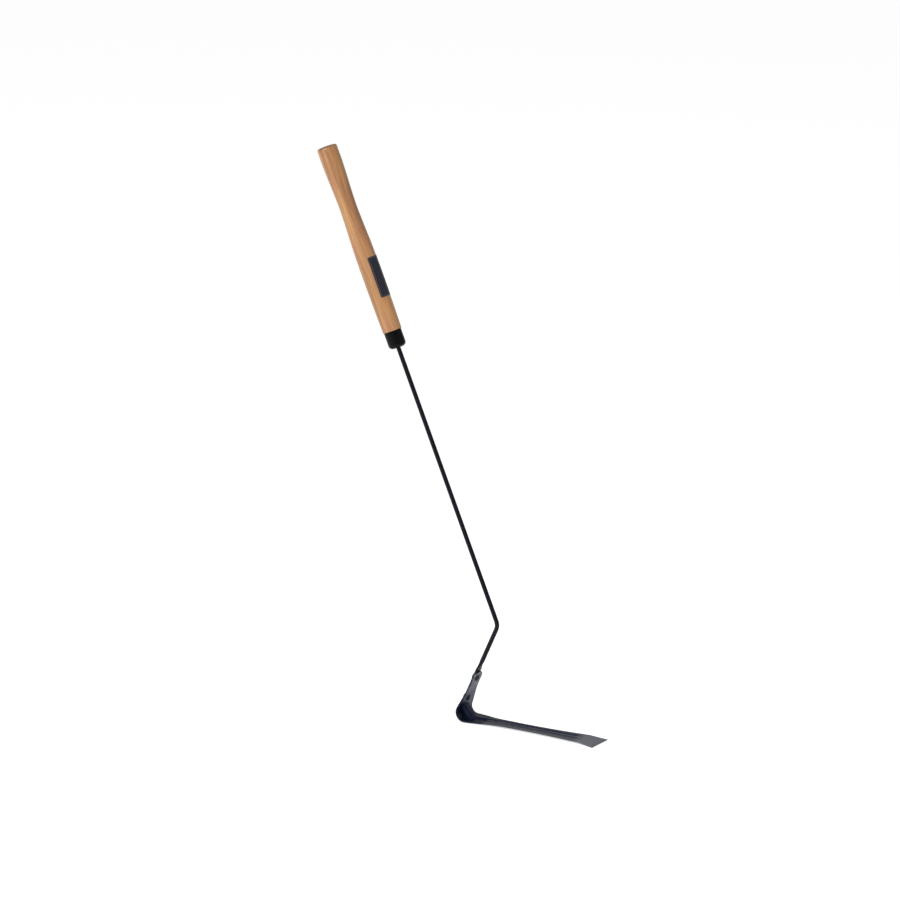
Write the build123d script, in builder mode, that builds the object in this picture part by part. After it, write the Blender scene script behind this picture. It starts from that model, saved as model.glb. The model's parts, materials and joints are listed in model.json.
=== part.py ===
from build123d import *
import os
from math import cos, radians, sin, tan

os.makedirs("parts", exist_ok=True)

# Long-handled weed cutter: a turned wooden grip with a black cap, a kinked steel rod, and an
# L-shaped sheet-steel blade held on the rod's flattened end by two rivets.
#
# Millimetres and degrees. +X runs along the blade from heel to tip, +Y across it, +Z up.
# The origin is under the middle of the whole tool, level with the blade's lowest edge.

# ---- Where the heel stands ----
heel_x = 2.652                  # virtual corner between the leg's face and the blade's upper face
blade_top = 5.5                 # upper face of the blade's level stretch
heel_drop = 2.0                 # the heel lies this much lower, so the blade is lightly arched
arch_full = 85.0                # along the blade, where it has risen to its full height

# ---- Blade sheet ----
sheet = 2.5                     # thickness of the stamped steel
leg_lean = 24.7                 # leg from the vertical, its top end over the blade
bend_radius = 12.0              # inside of the bend at the heel
heel_half_width = 22.4
flat_start = 21.0               # along the blade from the heel corner, just past the bend
waist_half_width = 15.1
waist_at = 118.0
tip_half_width = 24.0
blade_length = 252.0
heel_flare = 2.3                # powers of the outline's two curves, either side of the waist
tip_flare = 1.9
tip_length = 28.0               # the last stretch, folded down
tip_drop = 3.0
bevel_width = 5.0               # ground faces along the cutting edges
bevel_depth = 1.9
bevel_start = 30.0              # where the ground faces begin to run in past the heel
bevel_full = 72.0
station_step = 3.5              # distance between the blade's cross-sections
leg_taper_low = 19.0            # along the leg, where it begins to narrow
leg_taper_high = 62.0
leg_taper_slope = 0.22          # inward per length at the start of the narrowing
leg_shank_slope = 0.02          # and at its end

# ---- Pressed rib and dart ----
rib_height = 2.6
rib_radius = 5.3                # outside of the rib's round section
rib_start = 24.0
rib_end = 216.0
dart_up_leg = 25.0              # along the leg's face, from the heel corner
dart_along_blade = 28.0
dart_half_width = 9.0
dart_crest_radius = 6.5
dart_wall = 2.2                 # the pressed metal thins a little

# ---- Rod ----
rod_radius = 3.5
rod_bend_radius = 17.0
rod_lean = 23.4                 # upper rod and handle from the vertical, top end backwards
kink_up_leg = 170.0             # along the leg's direction, from the heel corner
rod_to_cap = 455.6              # kink to the cap's mouth
paddle_thickness = 3.2
paddle_half_width = 6.5
paddle_end = 25.0               # along the leg, where the flattened end stops
paddle_start = 88.0             # and where it becomes flat
round_from = 102.0              # above this the rod is round
tang_length = 122.0             # from the cap's mouth up into the wood
tang_point = 2.4
fin_half_width = 5.6
fin_thickness = 2.2
fin_low = 74.0                  # above the cap's mouth
fin_high = 90.0

# ---- Handle and cap ----
cap_radius = 13.9
cap_length = 27.5
cap_wall = 1.2
cap_dome = 6.5
cap_rim_round = 0.4             # the cap's upper outer edge
handle_top = 329.0              # above the cap's mouth
shoulder_radius = 14.9
shoulder_slope = 0.03           # outward per height as the wood leaves the cap
swell_radius = 16.0
swell_at = 112.0
body_radius = 15.25             # between the swell and the neck
body_at = 174.0
neck_radius = 13.5
neck_at = 226.0
grip_radius = 16.0
grip_at = 307.0
end_radius = 15.9
end_round = 4.0
end_crown = 0.8
fit_gap = 0.05                  # glue film round the tang and the spigot

# ---- Label ----
label_low = 81.0                # above the cap's mouth
label_high = 146.0
label_half_width = 12.3         # across the handle's front
label_thickness = 0.3
label_corner = 2.0

# ---- Rivets ----
upper_rivet_at = 72.0           # along the leg
rivet_spacing = 38.0
leg_end_radius = 12.2
rivet_hole_radius = 3.3
shank_radius = 3.25             # the shank swells to fill its hole when it is driven
head_radius = 5.8
head_height = 2.8
tail_radius = 5.0
tail_height = 1.5
tail_flat_radius = 3.7          # the hammered end of the tail
burr_radius = 6.0               # the washer under the tail
burr_bore = 3.4
burr_thickness = 1.0
burr_edge = 0.25

beyond = 80.0                   # reach of the blocks that only trim other shapes

# ---- Derived directions and points ----
leg_up = Vector(sin(radians(leg_lean)), 0, cos(radians(leg_lean)))
leg_out = Vector(cos(radians(leg_lean)), 0, -sin(radians(leg_lean)))
rod_up = Vector(-sin(radians(rod_lean)), 0, cos(radians(rod_lean)))
heel = Vector(heel_x, 0, blade_top - heel_drop)
rod_foot = heel - leg_out * (sheet + paddle_thickness / 2)
kink = rod_foot + leg_up * kink_up_leg
mouth = kink + rod_up * rod_to_cap

# On these two planes local x runs across the tool and local y up the leg.
leg_face = Plane(origin=heel, x_dir=(0, 1, 0), z_dir=leg_out)
rod_flat = Plane(origin=rod_foot, x_dir=(0, 1, 0), z_dir=leg_out)
# The handle's half section: local x is the radius, local y the height above the cap's mouth.
section = Plane(origin=mouth, x_dir=(cos(radians(rod_lean)), 0, sin(radians(rod_lean))), z_dir=(0, -1, 0))
handle_axis = Axis(mouth, rod_up)


def side_point(point):
    """A point of the middle plane as a pair for Plane.XZ."""
    return (point.X, point.Z)


def across_handle(height):
    """The plane square to the handle's axis, this far above the cap's mouth."""
    return Plane(origin=mouth + rod_up * height, x_dir=(0, 1, 0), z_dir=rod_up)


def half_width(along):
    """Half the blade's width at a distance from the heel corner: widest at both ends."""
    if along < waist_at:
        share = (waist_at - along) / (waist_at - flat_start)
        return waist_half_width + (heel_half_width - waist_half_width) * share**heel_flare
    share = (along - waist_at) / (blade_length - waist_at)
    return waist_half_width + (tip_half_width - waist_half_width) * share**tip_flare


def smooth_share(along, start, end):
    """0 before start, 1 after end, and a smooth rise between them."""
    share = min(max((along - start) / (end - start), 0), 1)
    return share * share * (3 - 2 * share)


def upper_level(along):
    """Height of the sheet's upper face before the tip's fold."""
    return blade_top - heel_drop * (1 - smooth_share(along, flat_start, arch_full))


def section_points(along, drop=0.0):
    """The blade cut across, as (Y, Z) pairs: flat sole, two ground edges, flat top."""
    wide = half_width(along)
    top = upper_level(along) - drop
    edge = top - bevel_depth * smooth_share(along, bevel_start, bevel_full)
    return [
        (-wide, top - sheet),
        (wide, top - sheet),
        (wide, edge),
        (wide - bevel_width, top),
        (bevel_width - wide, top),
        (-wide, edge),
    ]


# ---- Blade: one stamped sheet ----
tip_x = heel_x + blade_length
fold_at = blade_length - tip_length
steps = round((fold_at - flat_start) / station_step)
level_stations = [flat_start + (fold_at - flat_start) * step / steps for step in range(steps + 1)]
leg_top = upper_rivet_at + leg_end_radius
dart_leg_end = heel + leg_up * dart_up_leg
dart_blade_end = heel + Vector(dart_along_blade, 0, 0)
crest_run = (dart_blade_end - dart_leg_end).normalized()
crest_out = Vector(-crest_run.Z, 0, crest_run.X)
rib_drop = rib_radius - rib_height    # the rib's centre line lies this far under the upper face
corner_half_angle = radians((90 - leg_lean) / 2)
to_corner = (leg_up + Vector(1, 0, 0)).normalized() * -1
mid_corner = heel + to_corner * (sheet / 2 / sin(corner_half_angle))
outside_corner = heel + to_corner * beyond
rivets_at = [upper_rivet_at, upper_rivet_at - rivet_spacing]

# ---- The hollows behind the pressed dart and rib, used to cut the blade ----
with BuildPart() as dart_hollow:
    with BuildSketch(Plane.XZ):
        with BuildLine():
            Polyline(
                side_point(dart_leg_end - crest_out * sheet - crest_run * dart_up_leg),
                side_point(dart_blade_end - crest_out * sheet + crest_run * dart_along_blade),
                side_point(outside_corner),
                close=True,
            )
        make_face()
    extrude(amount=dart_half_width - dart_wall, both=True)
    fillet(
        dart_hollow.edges().filter_by(Axis(dart_leg_end, crest_run)),
        radius=dart_crest_radius - dart_wall,
    )

rib_stations = [rib_start + (arch_full - rib_start) * share / 4 for share in range(5)]
rib_far = Vector(heel_x + rib_end, 0, blade_top - rib_drop)
with BuildLine(Plane.XZ) as rib_line:
    rib_rise = Spline(
        *[(heel_x + along, upper_level(along) - rib_drop) for along in rib_stations],
        tangents=[(1, 0), (1, 0)],
    )
    Line(rib_rise @ 1, side_point(rib_far))
rib_near = Plane(origin=rib_line.line @ 0, x_dir=(0, 1, 0), z_dir=(1, 0, 0))

with BuildPart() as rib_groove:
    with BuildSketch(rib_near):
        Circle(rib_radius - sheet)
    sweep(path=rib_line.line)
    with Locations(rib_far):
        Sphere(rib_radius - sheet)

# The rib itself: a bar with a round end, cut off level with the sole.
with BuildPart() as rib_bar:
    with BuildSketch(rib_near):
        Circle(rib_radius)
    sweep(path=rib_line.line)
    with Locations(rib_far):
        Sphere(rib_radius)
    with BuildSketch(Plane.XZ):
        with BuildLine():
            Polyline(
                (heel_x - beyond, heel.Z - sheet),
                *[(heel_x + along, upper_level(along) - sheet) for along in level_stations],
                (heel_x + fold_at, -beyond),
                (heel_x - beyond, -beyond),
                close=True,
            )
        make_face()
    extrude(amount=beyond, both=True, mode=Mode.SUBTRACT)

with BuildPart() as blade:
    # Dart across the bend: a rounded web standing on the sheet's middle surface.
    with BuildSketch(Plane.XZ):
        with BuildLine():
            Polyline(
                side_point(dart_blade_end - Vector(0, 0, sheet / 2)),
                side_point(dart_blade_end),
                side_point(dart_leg_end),
                side_point(dart_leg_end - leg_out * (sheet / 2)),
            )
            FilletPolyline(
                side_point(dart_leg_end - leg_out * (sheet / 2)),
                side_point(mid_corner),
                side_point(dart_blade_end - Vector(0, 0, sheet / 2)),
                radius=bend_radius + sheet / 2,
            )
        make_face()
    extrude(amount=dart_half_width, both=True)
    fillet(blade.edges().filter_by(Axis(dart_leg_end, crest_run)), radius=dart_crest_radius)

    # Leg and round bend.
    with BuildSketch(Plane.XZ):
        with BuildLine():
            FilletPolyline(
                side_point(heel + leg_up * leg_top),
                side_point(heel),
                (heel_x + flat_start, heel.Z),
                radius=bend_radius,
            )
            offset(amount=sheet, side=Side.RIGHT)
        make_face()
    extrude(amount=heel_half_width, both=True)

    # The leg narrows to a round end about the upper rivet.
    with BuildSketch(leg_face):
        with Locations((0, leg_taper_low)):
            Rectangle(beyond, leg_top, align=(Align.CENTER, Align.MIN))
        with BuildLine():
            slope = Spline(
                (heel_half_width, leg_taper_low),
                (leg_end_radius, leg_taper_high),
                tangents=[(-leg_taper_slope, 1), (-leg_shank_slope, 1)],
            )
            shank = Line(slope @ 1, (leg_end_radius, upper_rivet_at))
            RadiusArc(shank @ 1, (0, leg_top), -leg_end_radius)
            Line((0, leg_taper_low), slope @ 0)
            mirror(about=Plane.YZ)
        make_face(mode=Mode.SUBTRACT)
    extrude(amount=bend_radius, both=True, mode=Mode.SUBTRACT)

    # Flat stretch, lofted through evenly spaced cross-sections, and the tip folded down.
    for along in level_stations:
        with BuildSketch(Plane.YZ.offset(heel_x + along)):
            Polygon(*section_points(along), align=None)
    loft(ruled=True)
    for along, drop in [(fold_at, 0), (blade_length, tip_drop)]:
        with BuildSketch(Plane.YZ.offset(heel_x + along)):
            Polygon(*section_points(along, drop), align=None)
    loft(ruled=True)

    # The tip's own ground edge.
    with BuildSketch(Plane.XZ):
        with BuildLine():
            Polyline(
                (tip_x + sheet, blade_top + sheet),
                (tip_x - bevel_width - sheet, blade_top + sheet),
                (tip_x - bevel_width, blade_top - tip_drop * (1 - bevel_width / tip_length)),
                (tip_x, blade_top - tip_drop - bevel_depth),
                (tip_x + sheet, blade_top - tip_drop - bevel_depth - sheet),
                close=True,
            )
        make_face()
    extrude(amount=tip_half_width + sheet, both=True, mode=Mode.SUBTRACT)

    # Rib along the blade.
    add(rib_bar.part)

    # Both are pressed out of the sheet, so its outside is hollow behind them.
    add(dart_hollow.part, mode=Mode.SUBTRACT)
    add(rib_groove.part, mode=Mode.SUBTRACT)

    # Rivet holes.
    with Locations(leg_face):
        with Locations(*[(0, at) for at in rivets_at]):
            Hole(rivet_hole_radius, depth=2 * sheet)

blade.part.label = "blade"
export_step(blade.part, "parts/blade.step")

# ---- Rod: tang with two fins, straight upper length, kink, flattened end ----
tang_tip = mouth + rod_up * tang_length
round_end = rod_foot + leg_up * round_from
flat_top = Plane(origin=rod_foot + leg_up * paddle_start, x_dir=(0, 1, 0), z_dir=leg_up)
round_bottom = Plane(origin=round_end, x_dir=(0, 1, 0), z_dir=leg_up)

with BuildPart() as rod:
    with BuildLine(Plane.XZ) as route:
        FilletPolyline(side_point(round_end), side_point(kink), side_point(tang_tip), radius=rod_bend_radius)
    with BuildSketch(round_bottom):
        Circle(rod_radius)
    sweep(path=route.line)
    chamfer(rod.edges().sort_by(handle_axis)[-1], length=tang_point)

    # Two fins pinched out of the tang, so that it can't turn or pull out of the wood.
    with BuildSketch(section):
        with Locations((0, (fin_low + fin_high) / 2)):
            Rectangle(2 * fin_half_width, fin_high - fin_low)
    extrude(amount=fin_thickness / 2, both=True)

    # Forged flat: the round bar spreads into the paddle.
    with BuildSketch(round_bottom):
        Circle(rod_radius)
    with BuildSketch(flat_top):
        Rectangle(2 * paddle_half_width, paddle_thickness)
    loft()
    with BuildSketch(rod_flat):
        with BuildLine():
            Polyline(
                (-paddle_half_width, paddle_end + paddle_half_width),
                (-paddle_half_width, paddle_start),
                (paddle_half_width, paddle_start),
                (paddle_half_width, paddle_end + paddle_half_width),
            )
            ThreePointArc(
                (paddle_half_width, paddle_end + paddle_half_width),
                (0, paddle_end),
                (-paddle_half_width, paddle_end + paddle_half_width),
            )
        make_face()
    extrude(amount=paddle_thickness / 2, both=True)
    with Locations(rod_flat):
        with Locations(*[(0, at) for at in rivets_at]):
            Hole(rivet_hole_radius, depth=2 * paddle_thickness)

rod.part.label = "rod"
export_step(rod.part, "parts/rod.step")

# ---- Cap: a thin domed shell over the wood's end ----
with BuildPart() as handle_cap:
    with BuildSketch(section):
        outer = Rectangle(cap_radius, cap_length, align=(Align.MIN, Align.MIN))
        fillet(outer.vertices().group_by(Axis.Y)[0].sort_by(Axis.X)[-1], radius=cap_dome)
    revolve(axis=handle_axis)
    with BuildSketch(section):
        with Locations((0, cap_wall)):
            inner = Rectangle(cap_radius - cap_wall, cap_length, align=(Align.MIN, Align.MIN))
        fillet(inner.vertices().group_by(Axis.Y)[0].sort_by(Axis.X)[-1], radius=cap_dome - cap_wall)
    revolve(axis=handle_axis, mode=Mode.SUBTRACT)
    with BuildSketch(across_handle(0)):
        Circle(rod_radius + fit_gap)
    extrude(amount=cap_length, mode=Mode.SUBTRACT)
    upper_rims = handle_cap.edges().filter_by(GeomType.CIRCLE).group_by(handle_axis)[-1]
    fillet(upper_rims.sort_by(SortBy.RADIUS)[-1], radius=cap_rim_round)

handle_cap.part.label = "handle_cap"
export_step(handle_cap.part, "parts/handle_cap.step")


# ---- Handle: turned wood with a spigot for the cap and a bore for the tang ----
def outer_surface(extra=0.0):
    """The turned outline from the shoulder to the top, inside a BuildLine, grown by extra."""
    return Spline(
        (shoulder_radius + extra, cap_length),
        (swell_radius + extra, swell_at),
        (body_radius + extra, body_at),
        (neck_radius + extra, neck_at),
        (grip_radius + extra, grip_at),
        (end_radius + extra, handle_top - end_crown - end_round),
        tangents=[(shoulder_slope, 1), (0, 1)],
    )


crown_radius = ((end_radius - end_round) ** 2 + end_crown**2) / (2 * end_crown)

with BuildPart() as handle:
    with BuildSketch(section):
        with BuildLine():
            outline = outer_surface()
            lip = RadiusArc(outline @ 1, (end_radius - end_round, handle_top - end_crown), -end_round)
            RadiusArc(lip @ 1, (0, handle_top), -crown_radius)
            Polyline((0, handle_top), (0, cap_length), outline @ 0)
        make_face()
    revolve(axis=handle_axis)
    with BuildSketch(section):
        spigot_radius = cap_radius - cap_wall - fit_gap
        with Locations((0, cap_wall + fit_gap)):
            spigot = Rectangle(spigot_radius, cap_length - cap_wall, align=(Align.MIN, Align.MIN))
        fillet(spigot.vertices().group_by(Axis.Y)[0].sort_by(Axis.X)[-1], radius=cap_dome - cap_wall)
    revolve(axis=handle_axis)
    with BuildSketch(across_handle(0)):
        Circle(rod_radius + fit_gap)
    extrude(amount=tang_length + fit_gap, mode=Mode.SUBTRACT)
    with BuildSketch(section):
        Rectangle(2 * (fin_half_width + fit_gap), fin_high + fit_gap, align=(Align.CENTER, Align.MIN))
    extrude(amount=fin_thickness / 2 + fit_gap, both=True, mode=Mode.SUBTRACT)

handle.part.label = "handle"
export_step(handle.part, "parts/handle.step")

# ---- Label: a thin film round the front of the swell ----
handle_front = Plane(origin=mouth, x_dir=(0, 1, 0), z_dir=section.x_dir)
label_height = label_high - label_low
with BuildPart() as handle_label:
    with BuildSketch(section):
        with BuildLine():
            film = outer_surface(label_thickness)
            Polyline(film @ 0, (shoulder_radius / 2, cap_length), (shoulder_radius / 2, handle_top), film @ 1)
        make_face()
        with Locations((0, label_low)):
            Rectangle(beyond, label_height, align=(Align.CENTER, Align.MIN), mode=Mode.INTERSECT)
    revolve(axis=handle_axis)
    add(handle.part, mode=Mode.SUBTRACT)
    with BuildSketch(handle_front):
        with Locations((0, label_low + label_height / 2)):
            RectangleRounded(2 * label_half_width, label_height, radius=label_corner)
    extrude(amount=beyond, mode=Mode.INTERSECT)

handle_label.part.label = "handle_label"
export_step(handle_label.part, "parts/handle_label.step")

# ---- Rivets: the round head bears on the leg, the hammered tail on a washer on the rod's flat ----
gripped = sheet + paddle_thickness
tail_seat = gripped + burr_thickness

for place, at in zip(["upper", "lower"], rivets_at):
    seat = heel + leg_up * at
    burr_plane = Plane(origin=seat - leg_out * gripped, x_dir=(0, 1, 0), z_dir=leg_out)
    # On this plane local x is the radius and local y the distance out from the leg's face.
    half_section = Plane(origin=seat, x_dir=(0, 1, 0), z_dir=-leg_up)

    with BuildPart() as rivet:
        with BuildSketch(half_section):
            with BuildLine():
                dome = TangentArc((0, head_height), (head_radius, 0), tangent=(1, 0))
                shank = Polyline(
                    dome @ 1,
                    (shank_radius, 0),
                    (shank_radius, -tail_seat),
                    (tail_radius, -tail_seat),
                )
                tail = TangentArc(shank @ 1, (tail_flat_radius, -tail_seat - tail_height), tangent=(0, -1))
                Polyline(tail @ 1, (0, -tail_seat - tail_height), dome @ 0)
            make_face()
        revolve(axis=Axis(seat, leg_out))
    rivet.part.label = f"{place}_rivet"
    export_step(rivet.part, f"parts/{place}_rivet.step")

    with BuildPart() as rivet_washer:
        with BuildSketch(burr_plane):
            Circle(burr_radius)
            Circle(burr_bore, mode=Mode.SUBTRACT)
        extrude(amount=-burr_thickness)
        rims = rivet_washer.edges().filter_by(GeomType.CIRCLE)
        fillet(rims.sort_by(SortBy.RADIUS)[-2:], radius=burr_edge)
    rivet_washer.part.label = f"{place}_rivet_washer"
    export_step(rivet_washer.part, f"parts/{place}_rivet_washer.step")
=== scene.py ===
# %% [markdown]
# # A long-handled weed cutter
#
# The tool is a turned wooden grip with a black cap, a thin steel rod with one kink, and an
# L-shaped steel blade held on by two rivets. The design program has already made every part
# at its real size. This lesson gives each part its finish, and makes again, with Geometry
# Nodes, the turned and repeated parts, whose looks need more than a machine drawing holds.
#
# The first step loads the finished design. Its nodes are Blender objects in metres, all
# standing at the origin, so a place is read from a node's box and never typed in.

import json
import math

import bmesh
import bpy
import numpy as np
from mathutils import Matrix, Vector

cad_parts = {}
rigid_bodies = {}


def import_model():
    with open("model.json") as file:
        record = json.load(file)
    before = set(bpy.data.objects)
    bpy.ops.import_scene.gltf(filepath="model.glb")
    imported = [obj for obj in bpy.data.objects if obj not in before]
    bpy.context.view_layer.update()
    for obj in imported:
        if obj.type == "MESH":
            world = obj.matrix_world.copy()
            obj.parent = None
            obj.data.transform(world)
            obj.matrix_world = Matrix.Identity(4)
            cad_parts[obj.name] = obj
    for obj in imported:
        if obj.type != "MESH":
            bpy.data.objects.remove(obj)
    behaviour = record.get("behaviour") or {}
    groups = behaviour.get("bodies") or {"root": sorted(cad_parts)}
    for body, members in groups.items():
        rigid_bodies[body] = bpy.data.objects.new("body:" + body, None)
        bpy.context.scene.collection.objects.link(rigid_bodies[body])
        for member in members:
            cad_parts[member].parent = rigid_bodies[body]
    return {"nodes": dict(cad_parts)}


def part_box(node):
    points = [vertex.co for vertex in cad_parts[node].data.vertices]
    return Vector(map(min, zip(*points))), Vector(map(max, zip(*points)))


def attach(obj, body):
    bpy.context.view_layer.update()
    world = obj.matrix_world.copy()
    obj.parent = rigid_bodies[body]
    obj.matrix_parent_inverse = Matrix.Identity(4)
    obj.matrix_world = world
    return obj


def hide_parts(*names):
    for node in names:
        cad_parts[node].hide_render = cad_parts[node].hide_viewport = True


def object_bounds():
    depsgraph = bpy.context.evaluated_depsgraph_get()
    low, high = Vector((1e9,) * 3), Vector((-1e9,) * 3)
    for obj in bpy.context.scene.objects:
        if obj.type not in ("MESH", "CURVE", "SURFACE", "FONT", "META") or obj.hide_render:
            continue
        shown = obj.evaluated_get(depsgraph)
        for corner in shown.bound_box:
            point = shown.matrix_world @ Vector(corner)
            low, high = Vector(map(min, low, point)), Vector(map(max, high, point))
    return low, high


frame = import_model()
nodes = frame["nodes"]
BODY = "root"
MM = 0.001
cad_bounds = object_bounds()
print("nodes:", ", ".join(sorted(nodes)))
print("design box in metres:", cad_bounds)

# %% [markdown]
# ## Directions of the tool
#
# The handle and the upper rod share one straight axis, and the blade's leg has another. Both
# lie in the tool's middle plane, so each is one angle from the vertical. Many finishes follow
# these axes: wood grain runs along the handle and drawing marks run along the rod.

# %% The two leaning axes
ROD_LEAN = math.radians(23.4)
LEG_LEAN = math.radians(24.7)
handle_up = Vector((-math.sin(ROD_LEAN), 0.0, math.cos(ROD_LEAN)))
leg_up = Vector((math.sin(LEG_LEAN), 0.0, math.cos(LEG_LEAN)))
leg_out = Vector((math.cos(LEG_LEAN), 0.0, -math.sin(LEG_LEAN)))


def middle(node):
    """The middle of a node's box."""
    low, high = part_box(node)
    return (Vector(low) + Vector(high)) / 2


def reach(node, origin, direction):
    """How far a node's points lie along a direction from an origin: the nearest and furthest."""
    distances = [(vertex.co - origin).dot(direction) for vertex in nodes[node].data.vertices]
    return min(distances), max(distances)


def turned_foot(node, up, across):
    """The lowest point on a turned part's axis, from two directions that are square."""
    start = middle(node)
    low, high = reach(node, start, across)
    on_axis = start + across * (low + high) / 2
    return on_axis + up * reach(node, on_axis, up)[0]


front = Vector((math.cos(ROD_LEAN), 0.0, math.sin(ROD_LEAN)))
tool_middle = (Vector(cad_bounds[0]) + Vector(cad_bounds[1])) / 2
mouth = turned_foot("handle_cap", handle_up, front)
cap_length = reach("handle_cap", mouth, handle_up)[1]
blade_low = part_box("blade")[0]
print("cap's mouth:", [round(value, 4) for value in mouth])
print("cap's length:", round(cap_length, 4))

# %% [markdown]
# ## Camera
#
# The tool is seen from in front of its right side, a little above. A long lens from far away
# keeps the handle and the blade at nearly the same scale, as in a catalogue picture.

# %% Camera
VIEW_AZIMUTH = math.radians(32.1)
VIEW_ELEVATION = math.radians(16.1)
CAMERA_DISTANCE = 13.42
LENS = 349.2
AIM = Vector((-17.2, 0.0, 428.0)) * MM

towards_camera = Vector(
    (
        math.sin(VIEW_AZIMUTH) * math.cos(VIEW_ELEVATION),
        -math.cos(VIEW_AZIMUTH) * math.cos(VIEW_ELEVATION),
        math.sin(VIEW_ELEVATION),
    )
)
camera_data = bpy.data.cameras.new("camera")
camera_data.lens = LENS
camera_data.clip_end = 100.0
camera = bpy.data.objects.new("camera", camera_data)
camera.location = AIM + towards_camera * CAMERA_DISTANCE
camera.rotation_euler = (-towards_camera).to_track_quat("-Z", "Y").to_euler()
bpy.context.scene.collection.objects.link(camera)
bpy.context.scene.camera = camera
print("camera at", [round(value, 2) for value in camera.location])

# %% [markdown]
# ## Helpers for node trees
#
# A material is a graph of small nodes. These helpers keep the graphs short to write: each
# makes one node, fills in its inputs, and returns the output that the next node reads.

# %% Helpers for materials


class Finish:
    """A material under construction: its tree, its shader, and short calls for its nodes."""

    def __init__(self, name):
        self.material = bpy.data.materials.new(name)
        self.material.use_nodes = True
        self.tree = self.material.node_tree
        self.shader = self.tree.nodes["Principled BSDF"]

    def node(self, kind, **settings):
        made = self.tree.nodes.new(kind)
        for name, value in settings.items():
            setattr(made, name, value)
        return made

    def link(self, value, socket):
        """Connects an output, or sets a plain value, on a socket."""
        if isinstance(value, bpy.types.NodeSocket):
            self.tree.links.new(value, socket)
        else:
            socket.default_value = value

    def set(self, **values):
        """Sets the shader's own sockets, with spaces in their names written as underscores."""
        for name, value in values.items():
            self.link(value, self.shader.inputs[name.replace("_", " ")])

    def math(self, operation, first, second=0.0, clamp=False):
        made = self.node("ShaderNodeMath", operation=operation, use_clamp=clamp)
        for socket, value in zip(made.inputs, (first, second)):
            self.link(value, socket)
        return made.outputs[0]

    def vector(self, operation, first, second):
        made = self.node("ShaderNodeVectorMath", operation=operation)
        self.link(first, made.inputs[0])
        self.link(second, made.inputs[1])
        return made.outputs["Vector"]

    def length(self, vector):
        made = self.node("ShaderNodeVectorMath", operation="LENGTH")
        self.link(vector, made.inputs[0])
        return made.outputs["Value"]

    def split(self, vector):
        made = self.node("ShaderNodeSeparateXYZ")
        self.link(vector, made.inputs[0])
        return made.outputs

    def join(self, x, y, z):
        made = self.node("ShaderNodeCombineXYZ")
        for socket, value in zip(made.inputs, (x, y, z)):
            self.link(value, socket)
        return made.outputs[0]

    def coordinates(self, origin=(0, 0, 0), lean=0.0):
        """Object coordinates from a point, with Z turned to lie along an axis leaning from +Z."""
        source = self.node("ShaderNodeTexCoord")
        mapping = self.node("ShaderNodeMapping", vector_type="TEXTURE")
        mapping.inputs["Location"].default_value = origin
        mapping.inputs["Rotation"].default_value = (0.0, lean, 0.0)
        self.link(source.outputs["Object"], mapping.inputs["Vector"])
        return mapping.outputs[0]

    def normal(self):
        return self.node("ShaderNodeTexCoord").outputs["Normal"]

    def noise(self, vector, scale, detail=3.0, roughness=0.5, distortion=0.0):
        made = self.node("ShaderNodeTexNoise")
        self.link(vector, made.inputs["Vector"])
        made.inputs["Scale"].default_value = scale
        made.inputs["Detail"].default_value = detail
        made.inputs["Roughness"].default_value = roughness
        made.inputs["Distortion"].default_value = distortion
        return made.outputs["Fac"]

    def stretch(self, vector, along_z):
        """Scales a vector, so that a noise read from it is drawn out along Z."""
        return self.vector("MULTIPLY", vector, (1.0, 1.0, along_z))

    def towards(self, direction):
        """How far the surface faces a direction: 1 when square to it, 0 when along it."""
        made = self.node("ShaderNodeVectorMath", operation="DOT_PRODUCT")
        self.link(self.normal(), made.inputs[0])
        made.inputs[1].default_value = direction
        return made.outputs["Value"]

    def range(self, value, low, high, to_low=0.0, to_high=1.0):
        """Eases from one value to another as an input goes from low to high."""
        made = self.node("ShaderNodeMapRange", interpolation_type="SMOOTHSTEP")
        for socket, entry in zip(made.inputs, (value, low, high, to_low, to_high)):
            self.link(entry, socket)
        return made.outputs[0]

    def ramp(self, value, *stops):
        """A colour ramp from (place, (red, green, blue)) stops."""
        made = self.node("ShaderNodeValToRGB")
        elements = made.color_ramp.elements
        while len(elements) < len(stops):
            elements.new(0.5)
        for element, (place, colour) in zip(elements, stops):
            element.position = place
            element.color = (*colour, 1.0)
        self.link(value, made.inputs[0])
        return made.outputs["Color"]

    def mix(self, share, first, second, blend="MIX"):
        made = self.node("ShaderNodeMix", data_type="RGBA", blend_type=blend)
        for name, value in (("Factor", share), ("A", first), ("B", second)):
            socket = next(entry for entry in made.inputs if entry.name == name and entry.enabled)
            self.link((*value, 1.0) if isinstance(value, tuple) else value, socket)
        return next(entry for entry in made.outputs if entry.enabled)

    def bump(self, *layers):
        """Stacks bumps: each layer is (height output, distance in metres, strength)."""
        below = None
        for height, distance, strength in layers:
            made = self.node("ShaderNodeBump")
            made.inputs["Distance"].default_value = distance
            made.inputs["Strength"].default_value = strength
            self.link(height, made.inputs["Height"])
            if below is not None:
                self.link(below, made.inputs["Normal"])
            below = made.outputs[0]
        self.link(below, self.shader.inputs["Normal"])


def dress(finish, *names):
    """Gives a finish to design nodes, by their names."""
    for name in names:
        node = nodes[name]
        node.data.materials.clear()
        node.data.materials.append(finish.material)
    print(finish.material.name, "on", ", ".join(names))


# %% [markdown]
# ## Turned hardwood
#
# The grip is one piece of hardwood, turned on a lathe, so its surface cuts through the growth
# rings at every angle. A solid texture does the same: rings round a pith line that stands
# beside the handle, bent a little by slow noise. Long fine fibres and short dark pores run
# along the grain, and broad streaks shift the colour from yellow to red. The crown shows end
# grain, which drinks more varnish and is darker. The satin varnish is the shader's coat.

# %% Wood
PITH = (0.034, 0.021, 0.0)
RING_WIDTH = 0.0034
RING_BEND = 0.016
LATE_WOOD = (0.185, 0.074, 0.029)
PORE = (0.075, 0.031, 0.015)
LATHE_MARKS = 2600.0


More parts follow.
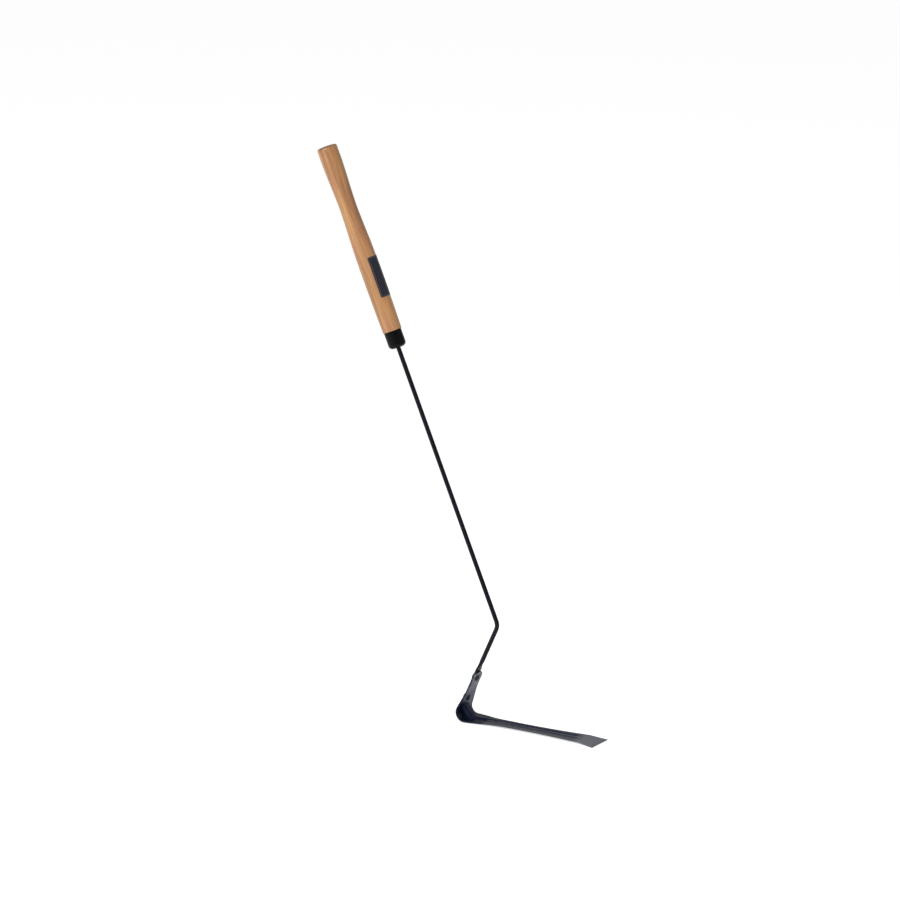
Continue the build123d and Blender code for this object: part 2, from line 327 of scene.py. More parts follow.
def turned_wood():
    wood = Finish("turned_hardwood")
    place = wood.coordinates(origin=mouth, lean=-ROD_LEAN)
    slow = wood.noise(wood.stretch(place, 0.10), 38.0, detail=2.0)
    bend = wood.math("MULTIPLY", wood.math("SUBTRACT", slow, 0.5), RING_BEND)
    from_pith = wood.vector("SUBTRACT", place, PITH)
    x, y, z = wood.split(from_pith)
    ring_place = wood.math("ADD", wood.length(wood.join(x, y, 0.0)), bend)
    ring = wood.math("FRACT", wood.math("DIVIDE", ring_place, RING_WIDTH))
    late = wood.math("MULTIPLY", wood.range(ring, 0.45, 0.95), wood.range(ring, 1.0, 0.95))

    fibre = wood.noise(wood.stretch(place, 0.018), 900.0, detail=4.0, roughness=0.6)
    streak = wood.noise(wood.stretch(place, 0.06), 120.0, detail=4.0, distortion=0.4)
    patch = wood.noise(wood.stretch(place, 0.30), 42.0, detail=2.0)
    pore = wood.range(wood.noise(wood.stretch(place, 0.03), 1500.0, detail=1.0), 0.64, 0.70)
    pore = wood.math("MULTIPLY", pore, wood.range(ring, 0.75, 0.15, 0.25, 1.0))

    base = wood.ramp(
        streak,
        (0.25, (0.215, 0.085, 0.029)),
        (0.45, (0.370, 0.172, 0.063)),
        (0.60, (0.460, 0.232, 0.088)),
        (0.78, (0.560, 0.305, 0.122)),
    )
    warm = wood.ramp(patch, (0.35, (0.94, 0.92, 0.66)), (0.65, (1.0, 0.82, 0.84)))
    base = wood.mix(0.8, base, warm, blend="MULTIPLY")
    base = wood.mix(wood.math("MULTIPLY", late, 0.40), base, LATE_WOOD)
    base = wood.mix(wood.range(fibre, 0.35, 0.75, 0.0, 0.28), base, (0.56, 0.35, 0.18))
    base = wood.mix(wood.math("MULTIPLY", pore, 0.75), base, PORE)

    end_grain = wood.range(wood.towards(handle_up), 0.45, 0.85)
    speckle = wood.noise(place, 2600.0, detail=2.0)
    speckle = wood.range(speckle, 0.4, 0.7)
    end_colour = wood.mix(speckle, (0.150, 0.062, 0.026), (0.260, 0.125, 0.052))
    end_colour = wood.mix(wood.math("MULTIPLY", late, 0.6), end_colour, (0.085, 0.034, 0.015))
    base = wood.mix(wood.math("MULTIPLY", end_grain, 0.8), base, end_colour)

    wood.set(Base_Color=base)
    wood.set(Roughness=wood.range(fibre, 0.3, 0.8, 0.40, 0.56))
    wood.set(Coat_Weight=0.30, Coat_Roughness=0.24)
    lathe_marks = wood.math("SINE", wood.math("MULTIPLY", z, LATHE_MARKS))
    wood.bump((fibre, 0.00012, 0.35), (pore, 0.00020, -0.6), (lathe_marks, 0.000012, 0.25))
    return wood


wood = turned_wood()
print(wood.material.name, "has", len(wood.tree.nodes), "nodes")

# %% [markdown]
# ## The turned grip
#
# The real grip was cut on a lathe: one outline, turned round one axis. Spin or a Screw
# modifier could do that, but a lathe made of Geometry Nodes can be used again for every
# turned part, and its sizes stay live until the end. The tree reads the outline from a curve
# whose points are (radius, 0, height). A grid supplies the skin: its rows follow the outline
# and its columns go round. Merge by Distance then closes the seam and the poles. Copies on a
# line serve for parts that repeat. A little noise gives hand-worked surfaces their unevenness,
# and it only ever pushes inwards, so that a part never grows past its design.

# %% The lathe
WELD = 0.001 * MM


class Tree:
    """A Geometry Nodes tree under construction, with named inputs."""

    def __init__(self, name, **sockets):
        self.tree = bpy.data.node_groups.new(name, "GeometryNodeTree")
        self.tree.interface.new_socket("Geometry", in_out="OUTPUT", socket_type="NodeSocketGeometry")
        self.ids = {}
        for label, kind in sockets.items():
            made = self.tree.interface.new_socket(
                label, in_out="INPUT", socket_type="NodeSocket" + kind
            )
            self.ids[label] = made.identifier
        self.inputs = self.tree.nodes.new("NodeGroupInput").outputs
        self.output = self.tree.nodes.new("NodeGroupOutput").inputs["Geometry"]

    def node(self, kind, settings=None, **links):
        """Adds a node; links fill its enabled sockets, named with underscores for spaces."""
        made = self.tree.nodes.new(kind)
        for name, value in (settings or {}).items():
            setattr(made, name, value)
        for name, value in links.items():
            label = name.replace("_", " ")
            socket = next(entry for entry in made.inputs if entry.name == label and entry.enabled)
            if isinstance(value, bpy.types.NodeSocket):
                self.tree.links.new(value, socket)
            else:
                socket.default_value = value
        return next((entry for entry in made.outputs if entry.enabled), None)

    def math(self, operation, first, second=0.0):
        made = self.tree.nodes.new("ShaderNodeMath")
        made.operation = operation
        for socket, value in zip(made.inputs, (first, second)):
            if isinstance(value, bpy.types.NodeSocket):
                self.tree.links.new(value, socket)
            else:
                socket.default_value = value
        return made.outputs[0]


def build_lathe():
    lathe = Tree(
        "lathe",
        Outline="Object",
        Sides="Int",
        Foot="Vector",
        Lean="Vector",
        Copies="Int",
        Spacing="Vector",
        Unevenness="Float",
        Unevenness_Scale="Float",
        Finish="Material",
    )
    given = lathe.inputs
    outline = lathe.tree.nodes.new("GeometryNodeObjectInfo")
    lathe.tree.links.new(given["Outline"], outline.inputs["Object"])
    curve = outline.outputs["Geometry"]
    size = lathe.tree.nodes.new("GeometryNodeAttributeDomainSize")
    size.component = "CURVE"
    lathe.tree.links.new(curve, size.inputs["Geometry"])
    rows = size.outputs["Point Count"]
    columns = lathe.math("ADD", given["Sides"], 1.0)
    grid = lathe.node(
        "GeometryNodeMeshGrid", Size_X=1.0, Size_Y=1.0, Vertices_X=columns, Vertices_Y=rows
    )

    place = lathe.node("GeometryNodeInputPosition")
    split = lathe.tree.nodes.new("ShaderNodeSeparateXYZ")
    lathe.tree.links.new(place, split.inputs[0])
    across = lathe.math("ADD", split.outputs["X"], 0.5)
    along = lathe.math("ADD", split.outputs["Y"], 0.5)
    row = lathe.math("ROUND", lathe.math("MULTIPLY", along, lathe.math("SUBTRACT", rows, 1.0)))
    on_outline = lathe.node(
        "GeometryNodeSampleIndex",
        {"data_type": "FLOAT_VECTOR", "domain": "POINT"},
        Geometry=curve,
        Value=place,
        Index=row,
    )
    turned = lathe.node(
        "ShaderNodeVectorRotate",
        {"rotation_type": "Z_AXIS"},
        Vector=on_outline,
        Angle=lathe.math("MULTIPLY", across, math.tau),
    )
    skin = lathe.node("GeometryNodeSetPosition", Geometry=grid, Position=turned)
    closed = lathe.node("GeometryNodeMergeByDistance", Geometry=skin, Distance=WELD)

    points = lathe.node("GeometryNodeMeshLine", Count=given["Copies"], Offset=given["Spacing"])
    copies = lathe.node("GeometryNodeInstanceOnPoints", Points=points, Instance=closed)
    solid = lathe.node("GeometryNodeRealizeInstances", Geometry=copies)
    bumps = lathe.node(
        "ShaderNodeTexNoise",
        Vector=lathe.node("GeometryNodeInputPosition"),
        Scale=given["Unevenness_Scale"],
        Detail=1.0,
    )
    amount = lathe.math("MULTIPLY", lathe.math("SUBTRACT", bumps, 1.0), given["Unevenness"])
    push = lathe.node(
        "ShaderNodeVectorMath",
        {"operation": "SCALE"},
        Vector=lathe.node("GeometryNodeInputNormal"),
        Scale=amount,
    )
    worked = lathe.node("GeometryNodeSetPosition", Geometry=solid, Offset=push)
    stood = lathe.node(
        "GeometryNodeTransform", Geometry=worked, Translation=given["Foot"], Rotation=given["Lean"]
    )
    joined = lathe.node("GeometryNodeRealizeInstances", Geometry=stood)
    painted = lathe.node("GeometryNodeSetMaterial", Geometry=joined, Material=given["Finish"])
    lathe.tree.links.new(painted, lathe.output)
    return lathe


lathe = build_lathe()
print("lathe inputs:", ", ".join(lathe.ids))

# %% [markdown]
# ## Turning a part
#
# A modifier's inputs are set by each socket's identifier, before the object is first
# evaluated. The evaluated result then becomes a plain mesh, and the modifier and the outline
# curve are thrown away. The signed volume tells whether the faces point outwards.

# %% Turn a part on the lathe
SHARP_EDGE = math.radians(38)


def curve_through(points):
    """A curve object with one straight-sided spline through (radius, height) points."""
    data = bpy.data.curves.new("outline", "CURVE")
    data.dimensions = "3D"
    spline = data.splines.new("POLY")
    spline.points.add(len(points) - 1)
    for point, (radius, height) in zip(spline.points, points):
        point.co = (radius, 0.0, height, 1.0)
    outline = bpy.data.objects.new("outline", data)
    bpy.context.scene.collection.objects.link(outline)
    return outline


def face_outwards(mesh):
    """Turns a closed mesh the right way out, and returns its volume in cubic metres."""
    shape = bmesh.new()
    shape.from_mesh(mesh)
    if shape.calc_volume(signed=True) < 0:
        bmesh.ops.reverse_faces(shape, faces=shape.faces)
    volume = shape.calc_volume()
    shape.to_mesh(mesh)
    shape.free()
    return volume


def bake_modifiers(piece):
    """Turns a piece's evaluated shape into its plain mesh and takes its modifiers away."""
    graph = bpy.context.evaluated_depsgraph_get()
    result = bpy.data.meshes.new_from_object(piece.evaluated_get(graph))
    piece.modifiers.clear()
    piece.data = result
    result.shade_smooth()
    result.set_sharp_from_angle(angle=SHARP_EDGE)
    volume = face_outwards(result)
    print(f"{piece.name}: {len(result.polygons)} faces, {volume / MM**3 / 1000:.2f} cubic cm")


def turn(
    name,
    points,
    finish,
    foot,
    lean,
    sides,
    copies=1,
    spacing=(0, 0, 0),
    unevenness=0.0,
    grain=100.0,
):
    """Turns an outline of (radius, height) points into a finished piece."""
    outline = curve_through(points)
    piece = bpy.data.objects.new(name, bpy.data.meshes.new(name))
    bpy.context.scene.collection.objects.link(piece)
    modifier = piece.modifiers.new("lathe", "NODES")
    modifier.node_group = lathe.tree
    values = {
        "Outline": outline,
        "Sides": sides,
        "Foot": foot,
        "Lean": (0.0, lean, 0.0),
        "Copies": copies,
        "Spacing": spacing,
        "Unevenness": unevenness,
        "Unevenness_Scale": grain,
        "Finish": finish.material,
    }
    for label, value in values.items():
        modifier[lathe.ids[label]] = value
    bake_modifiers(piece)
    bpy.data.objects.remove(outline)
    return piece


def arc(centre, radius, start, end, steps):
    """Points of an arc in an outline, with its angles in degrees from the outline's +radius."""
    turns = [math.radians(start + (end - start) * step / steps) for step in range(steps + 1)]
    return [(centre[0] + radius * math.cos(a), centre[1] + radius * math.sin(a)) for a in turns]


print("edges sharper than", round(math.degrees(SHARP_EDGE)), "degrees stay sharp")

# %% [markdown]
# The outline comes from the design itself. Each point of the design's handle has a height
# along the axis and a radius from it, and sorted by height they draw the outline. The wood
# below the shoulder is the spigot inside the cap, and the bore takes the rod's tang.

# %% The grip
SPIGOT_RADIUS = 12.6 * MM
BORE_RADIUS = 3.55 * MM
BORE_DEPTH = 122.0 * MM
SHOULDER_EASE = 0.35 * MM
SPIGOT_FOOT = 2.0 * MM
SPIGOT_TAPER = (3.0 * MM, 6.0 * MM)  # inwards and upwards
OUTLINE_STEP = 1.4 * MM
HANDLE_SIDES = 96


def design_outline():
    """(radius, height) points of the design's handle above the cap, evenly thinned."""
    found = []
    for vertex in nodes["handle"].data.vertices:
        offset = vertex.co - mouth
        height = offset.dot(handle_up)
        radius = (offset - handle_up * height).length
        if height > cap_length + SHOULDER_EASE and radius > BORE_RADIUS * 2:
            found.append((radius, height))
    found.sort(key=lambda point: point[1])
    kept = [found[0]]
    for point in found:
        if math.dist(point, kept[-1]) > OUTLINE_STEP:
            kept.append(point)
    return kept


grip_outline = design_outline()
handle_top = max(reach("handle", mouth, handle_up))
shoulder = grip_outline[0]
print("outline points:", len(grip_outline), "height of the grip:", round(handle_top, 4))

grip = turn(
    "turned_grip",
    [
        (0.0, BORE_DEPTH),
        (BORE_RADIUS, BORE_DEPTH),
        (BORE_RADIUS, SPIGOT_FOOT),
        (SPIGOT_RADIUS - SPIGOT_TAPER[0], SPIGOT_FOOT),
        (SPIGOT_RADIUS, SPIGOT_FOOT + SPIGOT_TAPER[1]),
        (SPIGOT_RADIUS, cap_length),
        (shoulder[0] - SHOULDER_EASE, cap_length),
        *grip_outline,
        (0.0, handle_top),
    ],
    wood,
    foot=mouth,
    lean=-ROD_LEAN,
    sides=HANDLE_SIDES,
    unevenness=0.10 * MM,
    grain=45.0,
)
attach(grip, BODY)
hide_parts("handle")

# %% [markdown]
# ## Black enamel
#
# The cap is pressed steel under black enamel. Enamel is never quite flat: a very low, wide
# ripple makes its highlight soft and uneven, and a fine one gives it a satin grain.

# %% Cap


def black_enamel():
    enamel = Finish("black_enamel")
    place = enamel.coordinates(origin=mouth, lean=-ROD_LEAN)
    ripple = enamel.noise(place, 260.0, detail=2.0)
    grain = enamel.noise(place, 2400.0, detail=2.0)
    shade = enamel.ramp(ripple, (0.3, (0.0008, 0.0008, 0.0009)), (0.7, (0.0028, 0.0028, 0.0030)))
    enamel.set(Base_Color=shade)
    enamel.set(Roughness=enamel.range(grain, 0.3, 0.7, 0.26, 0.40))
    enamel.set(Specular_IOR_Level=0.10)
    enamel.bump((ripple, 0.00016, 0.20), (grain, 0.00002, 0.5))
    return enamel


dress(black_enamel(), "handle_cap")

# %% [markdown]
# ## Blue-black rod
#
# The rod is drawn bar, so it keeps faint lines along its length under a thin blue-black
# lacquer. The lines are noise drawn out along the handle's axis, which is also the axis of
# the longer part of the rod.

# %% Rod


def rod_lacquer():
    lacquer = Finish("rod_lacquer")
    place = lacquer.coordinates(origin=mouth, lean=-ROD_LEAN)
    drawn = lacquer.noise(lacquer.stretch(place, 0.012), 2200.0, detail=3.0)
    cloud = lacquer.noise(place, 60.0, detail=3.0)
    shade = lacquer.ramp(
        cloud,
        (0.30, (0.0010, 0.0012, 0.0040)),
        (0.55, (0.0020, 0.0026, 0.0075)),
        (0.75, (0.0042, 0.0050, 0.0120)),
    )
    lacquer.set(Base_Color=shade)
    lacquer.set(Roughness=lacquer.range(drawn, 0.3, 0.7, 0.32, 0.48))
    lacquer.set(Specular_IOR_Level=0.16)
    lacquer.bump((drawn, 0.00004, 0.35), (cloud, 0.00010, 0.10))
    return lacquer


dress(rod_lacquer(), "rod")

# %% [markdown]
# ## Ground and blued sheet steel
#
# The blade comes out of the hardening oven blue-black and is then ground. The flat faces keep
# fine lines along the blade, and the bevelled edges have lines across them. The bend is dark blue:
# partly the skin the wheel can't reach, and partly painted shade in the crease of the bend. Masks
# choose between the finishes. The surface's tilt finds the bevels and a painted highlight on the
# crest of the dart, where real scratches are added. The place on the blade finds the bend, a
# painted shade line along the rib, and a painted highlight that makes the tip's flat paler.

# %% Blade
# Where each finish, painted shade or painted highlight gives way to the next, in metres from the
# back and bottom of the blade's box.
GROUND_FROM = (0.0088, 0.0094)  # from the middle plane
BEND_BLUE_AND_SHADE_ALONG = (0.034, 0.062)
BEND_BLUE_AND_SHADE_UP = (0.034, 0.060)
RIB_SIDE = (0.0030, 0.0044)  # from the middle plane
RIB_CLEAR_OF = 0.030
RIB_BELOW = 0.026
RIB_FADES = (0.205, 0.218)
TIP_HIGHLIGHT_FROM = (0.204, 0.222)
RAGGEDNESS = 0.020


def blade_steel():
    steel = Finish("ground_blued_steel_painted_light")
    place = steel.coordinates(origin=(blade_low[0], 0.0, blade_low[2]))
    x, y, z = steel.split(place)
    lines = steel.noise(steel.vector("MULTIPLY", place, (0.02, 1.0, 1.0)), 2600.0, detail=3.0)
    across = steel.noise(steel.vector("MULTIPLY", place, (1.0, 0.03, 0.3)), 2200.0, detail=2.0)
    cloud = steel.noise(place, 45.0, detail=4.0, roughness=0.6)
    speck = steel.noise(place, 420.0, detail=3.0, roughness=0.65)
    blotch = steel.noise(place, 130.0, detail=3.0, roughness=0.6, distortion=0.4)
    side = steel.math("ABSOLUTE", y)
    facing = steel.split(steel.normal())
    tilt = steel.math("ABSOLUTE", facing["Y"])
    ground = steel.math("MULTIPLY", steel.range(side, *GROUND_FROM), steel.range(tilt, 0.12, 0.22))
    ground = steel.math("MULTIPLY", ground, steel.range(facing["Z"], 0.70, 0.80))

    # Painted shade: the bend is darkened, partly as its blue skin and partly as shade in its crease.
    # The darkening fades along the blade and up the leg, with a ragged cloudy edge.
    near_heel = steel.range(x, *BEND_BLUE_AND_SHADE_ALONG, 1.0, 0.0)
    low_leg = steel.range(z, *BEND_BLUE_AND_SHADE_UP, 1.0, 0.0)
    # Painted shade: a dark line along the middle of the blade, on the rib, stands in for the shade
    # on the rib's near slope.
    on_rib = steel.range(side, *RIB_SIDE, 1.0, 0.0)
    rib_shade = steel.math("MULTIPLY", on_rib, steel.range(z, RIB_CLEAR_OF, RIB_BELOW))
    rib_shade = steel.math("MULTIPLY", rib_shade, steel.range(x, *RIB_FADES, 1.0, 0.0))
    edge = steel.math("MULTIPLY", steel.math("SUBTRACT", cloud, 0.5), 0.7)
    blue_skin_and_shade = steel.math("ADD", steel.math("MULTIPLY", near_heel, low_leg), edge, clamp=True)
    blue_skin_and_shade = steel.range(blue_skin_and_shade, 0.25, 0.80)
    blue_skin_and_shade = steel.math("MULTIPLY", blue_skin_and_shade, steel.range(speck, 0.20, 0.45, 0.75, 1.0))

    skin = steel.ramp(
        cloud,
        (0.30, (0.036, 0.041, 0.062)),
        (0.50, (0.058, 0.064, 0.088)),
        (0.72, (0.088, 0.095, 0.118)),
    )
    skin = steel.mix(steel.range(lines, 0.35, 0.70, 0.0, 0.35), skin, (0.108, 0.115, 0.142))
    skin = steel.mix(steel.range(speck, 0.56, 0.72, 0.0, 0.55), skin, (0.035, 0.040, 0.060))
    skin = steel.mix(steel.range(blotch, 0.47, 0.62, 0.0, 0.75), skin, (0.026, 0.030, 0.048))
    rib_shade = steel.math("MULTIPLY", rib_shade, steel.range(blotch, 0.3, 0.7, 0.95, 0.6))
    skin = steel.mix(rib_shade, skin, (0.020, 0.023, 0.048))
    # Painted highlight: faces turned out from the bend towards the dart's crest get a paler blue,
    # broken up by blotches. Real scratches are added on top.
    crest = steel.towards((leg_out + Vector((0, 0, 1))).normalized())
    crest_highlight_and_scratches = steel.range(crest, 0.93, 0.99, 0.15, 1.0)
    crest_highlight_and_scratches = steel.math("MULTIPLY", crest_highlight_and_scratches, steel.range(blotch, 0.35, 0.60, 0.35, 1.0))
    scratch = steel.noise(steel.vector("MULTIPLY", place, (0.25, 1.0, 0.25)), 900.0, detail=2.0)
    crest_highlight_and_scratches = steel.math("ADD", crest_highlight_and_scratches, steel.range(scratch, 0.62, 0.72, 0.0, 0.5), clamp=True)
    blue = steel.mix(crest_highlight_and_scratches, (0.0040, 0.0070, 0.030), (0.034, 0.042, 0.070))
    skin = steel.mix(blue_skin_and_shade, skin, blue)
    bright = steel.ramp(across, (0.3, (0.115, 0.122, 0.138)), (0.7, (0.210, 0.216, 0.232)))
    skin = steel.mix(steel.math("MULTIPLY", ground, 0.85), skin, bright)
    # Painted highlight: the flat at the tip is made paler, with a ragged edge.
    ragged = steel.math("MULTIPLY", steel.math("SUBTRACT", blotch, 0.5), RAGGEDNESS)
    tip_highlight = steel.range(steel.math("ADD", x, ragged), *TIP_HIGHLIGHT_FROM, 0.0, 0.75)
    skin = steel.mix(tip_highlight, skin, (0.280, 0.292, 0.325))
    steel.set(Base_Color=skin)
    steel.set(Metallic=0.75)
    rough = steel.range(lines, 0.3, 0.7, 0.34, 0.50)
    steel.set(Roughness=steel.math("ADD", rough, steel.math("MULTIPLY", ground, -0.06)))
    marks = steel.math("ADD", lines, steel.math("MULTIPLY", ground, across))
    steel.bump((marks, 0.00005, 0.35), (speck, 0.00008, 0.15), (cloud, 0.00020, 0.12))
    return steel


dress(blade_steel(), "blade")

# %% [markdown]
# ## Rivets
#
# Each rivet has a round head on the leg and a hammered tail on a small washer behind the
# rod's flat end. Rivets are turned parts that repeat, so they come off the same lathe, both
# at once, spaced along the leg. Their heads are black from the forge, with a grain finer
# than the blade's, and the unevenness stands for hammer marks.

# %% Rivet finish


def small_steel(name, dark, light, metallic):
    steel = Finish(name)
    place = steel.coordinates()
    grain = steel.noise(place, 1800.0, detail=3.0)
    cloud = steel.noise(place, 240.0, detail=2.0)
    shade = steel.ramp(cloud, (0.3, dark), (0.7, light))
    steel.set(Base_Color=steel.mix(steel.range(grain, 0.5, 0.8, 0.0, 0.3), shade, light))
    steel.set(Metallic=metallic)
    steel.set(Roughness=steel.range(grain, 0.3, 0.7, 0.36, 0.52))
    steel.bump((grain, 0.00003, 0.4))
    return steel


oxide = small_steel("black_oxide", (0.0030, 0.0034, 0.0060), (0.0100, 0.0110, 0.0170), 0.4)
plated = small_steel("dull_plating", (0.045, 0.048, 0.058), (0.095, 0.098, 0.110), 0.8)
print("made", oxide.material.name, "and", plated.material.name)

# %% The rivets' outline
rivet_tail = turned_foot("lower_rivet", leg_out, leg_up)
rivet_length = reach("lower_rivet", rivet_tail, leg_out)[1]
rivet_step = (turned_foot("upper_rivet", leg_out, leg_up) - rivet_tail).length
HEAD_RADIUS = 5.8 * MM
HEAD_HEIGHT = 2.8 * MM
TAIL_RADIUS = 5.0 * MM
TAIL_HEIGHT = 1.5 * MM
SHANK_RADIUS = 3.25 * MM
HEAD_EASE = 0.3 * MM
RIVET_SIDES = 48

head_foot = rivet_length - HEAD_HEIGHT
sphere_radius = (HEAD_RADIUS**2 + HEAD_HEIGHT**2) / (2 * HEAD_HEIGHT)
sphere_height = rivet_length - sphere_radius
rim_angle = math.degrees(math.asin((head_foot + HEAD_EASE - sphere_height) / sphere_radius))
rivet_outline = [
    (0.0, 0.0),
    *arc((TAIL_RADIUS - TAIL_HEIGHT, TAIL_HEIGHT), TAIL_HEIGHT, -90, 0, 6),
    (SHANK_RADIUS, TAIL_HEIGHT),
    (SHANK_RADIUS, head_foot),
    (HEAD_RADIUS - HEAD_EASE, head_foot),
    *arc((0.0, sphere_height), sphere_radius, rim_angle, 90, 14),
]
print("rivet length:", round(rivet_length, 5), "spacing:", round(rivet_step, 5))

# %% Turn both rivets
LEG_SQUARE = math.pi / 2 + LEG_LEAN
rivets = turn(
    "rivets",
    rivet_outline,
    oxide,
    foot=rivet_tail,
    lean=LEG_SQUARE,
    sides=RIVET_SIDES,
    copies=2,
    spacing=(-rivet_step, 0, 0),
    unevenness=0.22 * MM,
    grain=420.0,
)
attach(rivets, BODY)
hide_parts("upper_rivet", "lower_rivet")

# %% Turn both washers
washer_low, washer_high = reach("lower_rivet_washer", rivet_tail, leg_out)
WASHER_RADIUS = 6.0 * MM
WASHER_BORE = 3.4 * MM
WASHER_EASE = 0.25 * MM
washer_thick = washer_high - washer_low
washer_outline = [
    (WASHER_BORE, washer_thick),
    (WASHER_BORE, 0.0),
    *arc((WASHER_RADIUS - WASHER_EASE, WASHER_EASE), WASHER_EASE, -90, 0, 4),
    *arc((WASHER_RADIUS - WASHER_EASE, washer_thick - WASHER_EASE), WASHER_EASE, 0, 90, 4),
    (WASHER_BORE, washer_thick),
]
washers = turn(
    "rivet_washers",
    washer_outline,
    plated,
    foot=rivet_tail + leg_out * washer_low,
    lean=LEG_SQUARE,
    sides=RIVET_SIDES,
    copies=2,
    spacing=(-rivet_step, 0, 0),
)
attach(washers, BODY)
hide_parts("upper_rivet_washer", "lower_rivet_washer")

# %% [markdown]
# ## Label
#
# A dark printed film wraps round the front of the handle. It is kept plain: a field with one
# fine pale line inside its edge, and no words. The film is a grid laid on the turned outline
# and thickened with Solidify. Its UV map is unrolled in metres, so the pale line keeps an
# even width, and the material finds it from the distance to the nearest edge.

# %% Label shape
LABEL_THICK = 0.26 * MM
LABEL_LIFT = 0.02 * MM
LABEL_CORNER = 2.0 * MM
LABEL_COLUMNS = 40
LABEL_ROWS = 60
label_low, label_high = reach("handle_label", mouth, handle_up)
label_half_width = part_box("handle_label")[1].y
label_height = label_high - label_low
outline_heights = [height for radius, height in grip_outline]
outline_radii = [radius for radius, height in grip_outline]


def label_limit(height):
    """Half the label's width at a height, less near its rounded corners."""
    to_end = min(height - label_low, label_high - height)
    inside = max(LABEL_CORNER - to_end, 0.0)
    return label_half_width - LABEL_CORNER + math.sqrt(max(LABEL_CORNER**2 - inside**2, 0.0))


def label_mesh():
    points, unrolled, faces = [], [], []
    for row in range(LABEL_ROWS + 1):
        height = label_low + label_height * (1 - math.cos(math.pi * row / LABEL_ROWS)) / 2
        radius = float(np.interp(height, outline_heights, outline_radii)) + LABEL_LIFT
        limit = label_limit(height)
        for column in range(LABEL_COLUMNS + 1):
            side = limit * (2 * column / LABEL_COLUMNS - 1)
            turn_angle = math.asin(side / radius)
            spoke = front * math.cos(turn_angle) + Vector((0, math.sin(turn_angle), 0))
            points.append(mouth + handle_up * height + spoke * radius)
            unrolled.append((radius * turn_angle, height - (label_low + label_high) / 2))
    wide = LABEL_COLUMNS + 1
    for row in range(LABEL_ROWS):
        for column in range(LABEL_COLUMNS):
            corner = row * wide + column
            faces.append((corner, corner + 1, corner + wide + 1, corner + wide))
    mesh = bpy.data.meshes.new("label")
    mesh.from_pydata(points, [], faces)
    uv = mesh.uv_layers.new(name="unrolled")
    for loop in mesh.loops:
        uv.data[loop.index].uv = unrolled[loop.vertex_index]
    return mesh


print("label lies", round(label_low, 4), "to", round(label_high, 4), "above the cap's mouth")

# %% Label finish
KEYLINE_NEAR = 0.0012
KEYLINE_FAR = 0.0017
KEYLINE_SOFT = 0.0001
label_half_arc = outline_radii[0] * math.asin(label_half_width / max(outline_radii))


def label_film():
    film = Finish("label_film")
    unrolled = film.node("ShaderNodeUVMap", uv_map="unrolled").outputs[0]
    across, along = film.split(unrolled)[:2]
    place = film.coordinates(origin=mouth, lean=-ROD_LEAN)
    grain = film.noise(place, 1500.0, detail=2.0)
    scuff = film.noise(film.stretch(place, 0.25), 520.0, detail=4.0, roughness=0.7)
    reach_across = film.math("SUBTRACT", label_half_arc, film.math("ABSOLUTE", across))
    reach_along = film.math("SUBTRACT", label_height / 2, film.math("ABSOLUTE", along))
    to_edge = film.math("MINIMUM", reach_across, reach_along)
    outer = film.range(to_edge, KEYLINE_NEAR, KEYLINE_NEAR + KEYLINE_SOFT)
    inner = film.range(to_edge, KEYLINE_FAR, KEYLINE_FAR + KEYLINE_SOFT)
    keyline = film.math("SUBTRACT", outer, inner)
    shade = film.ramp(grain, (0.3, (0.0070, 0.0070, 0.0150)), (0.7, (0.0130, 0.0125, 0.0260)))
    shade = film.mix(film.range(scuff, 0.60, 0.75, 0.0, 0.35), shade, (0.055, 0.052, 0.065))
    shade = film.mix(film.math("MULTIPLY", keyline, 0.6), shade, (0.20, 0.19, 0.19))
    film.set(Base_Color=shade)
    film.set(Roughness=film.range(scuff, 0.3, 0.7, 0.30, 0.46))
    film.set(Specular_IOR_Level=0.35)
    film.bump((grain, 0.00002, 0.3), (keyline, 0.00003, 0.4))
    return film


print("label is", round(label_height, 4), "high; half its arc is", round(label_half_arc, 4))

# %% Make the label
label = bpy.data.objects.new("label", label_mesh())
bpy.context.scene.collection.objects.link(label)
label.data.materials.append(label_film().material)
solidify = label.modifiers.new("thickness", "SOLIDIFY")
solidify.thickness = LABEL_THICK
solidify.offset = 1.0
bake_modifiers(label)
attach(label, BODY)
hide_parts("handle_label")

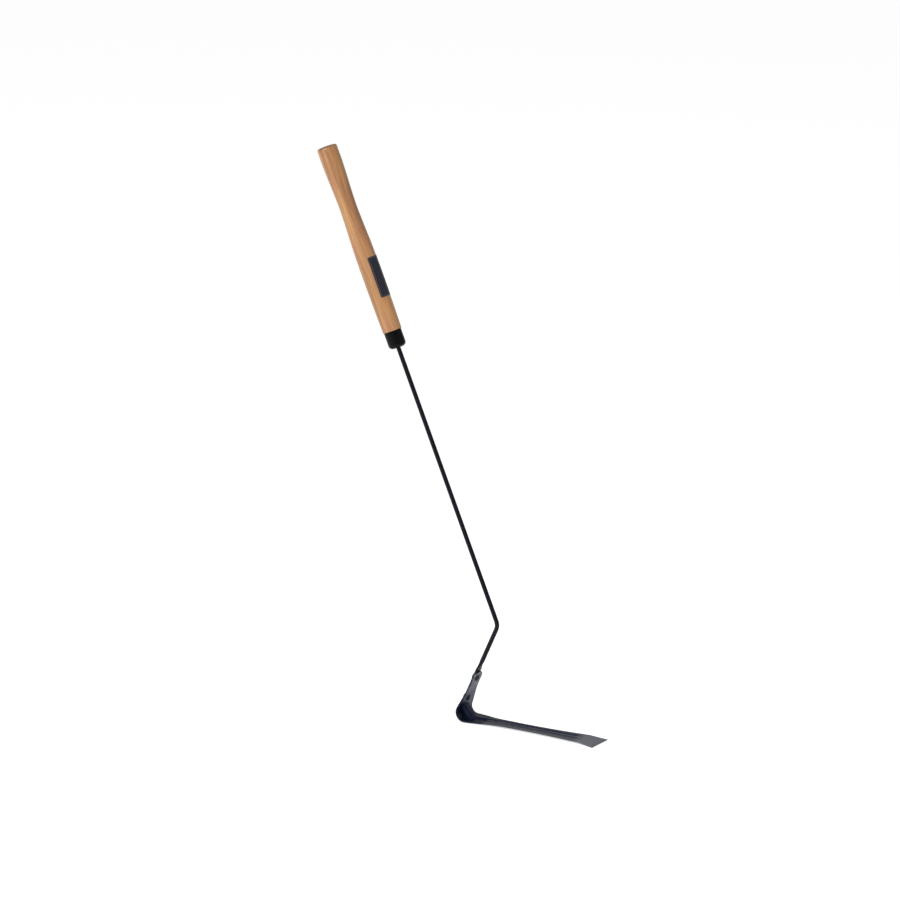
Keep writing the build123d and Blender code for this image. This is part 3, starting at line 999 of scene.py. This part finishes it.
# %% [markdown]
# ## Floor and light
#
# The tool stands on a plain pale floor under an even sky. The floor glows a little, as a
# light table does, so that it stays pale while the sky is kept dim and the black parts stay
# black. One large soft light from the upper left gives the round parts a bright side and a
# dark side, and a weak one from the right keeps the dark side readable.

# %% Floor
FLOOR_SIZE = 60.0
FLOOR_GLOW = 0.57
floor_mesh = bpy.data.meshes.new("floor")
half = FLOOR_SIZE / 2
floor_corners = [(-half, -half, 0), (half, -half, 0), (half, half, 0), (-half, half, 0)]
floor_mesh.from_pydata(floor_corners, [], [(0, 1, 2, 3)])
floor = bpy.data.objects.new("floor", floor_mesh)
bpy.context.scene.collection.objects.link(floor)
pale = Finish("pale_floor")
pale.set(Base_Color=(0.90, 0.90, 0.90, 1.0), Roughness=0.9, Specular_IOR_Level=0.1)
pale.set(Emission_Color=(1.0, 1.0, 1.0, 1.0), Emission_Strength=FLOOR_GLOW)
floor_mesh.materials.append(pale.material)
print("floor is", FLOOR_SIZE, "m wide")

# %% Lights
SKY_STRENGTH = 0.42
world = bpy.data.worlds.new("sky")
world.use_nodes = True
sky = world.node_tree.nodes["Background"].inputs
sky["Color"].default_value = (1.0, 1.0, 1.0, 1.0)
sky["Strength"].default_value = SKY_STRENGTH
bpy.context.scene.world = world


def soft_light(name, azimuth, elevation, distance, size, watts):
    """A square area light aimed at the tool, placed by its bearing from the tool's middle."""
    data = bpy.data.lights.new(name, "AREA")
    data.size = size
    data.energy = watts
    turn, tilt = math.radians(azimuth), math.radians(elevation)
    level = math.cos(tilt)
    towards = Vector((math.sin(turn) * level, -math.cos(turn) * level, math.sin(tilt)))
    light = bpy.data.objects.new(name, data)
    light.location = tool_middle + towards * distance
    light.rotation_euler = (-towards).to_track_quat("-Z", "Y").to_euler()
    bpy.context.scene.collection.objects.link(light)
    print(name, "at", [round(value, 2) for value in light.location])


soft_light("key_light", azimuth=-10, elevation=36, distance=3.2, size=1.8, watts=66)
soft_light("fill_light", azimuth=100, elevation=30, distance=3.6, size=2.0, watts=5)
bpy.context.scene.view_settings.view_transform = "Standard"
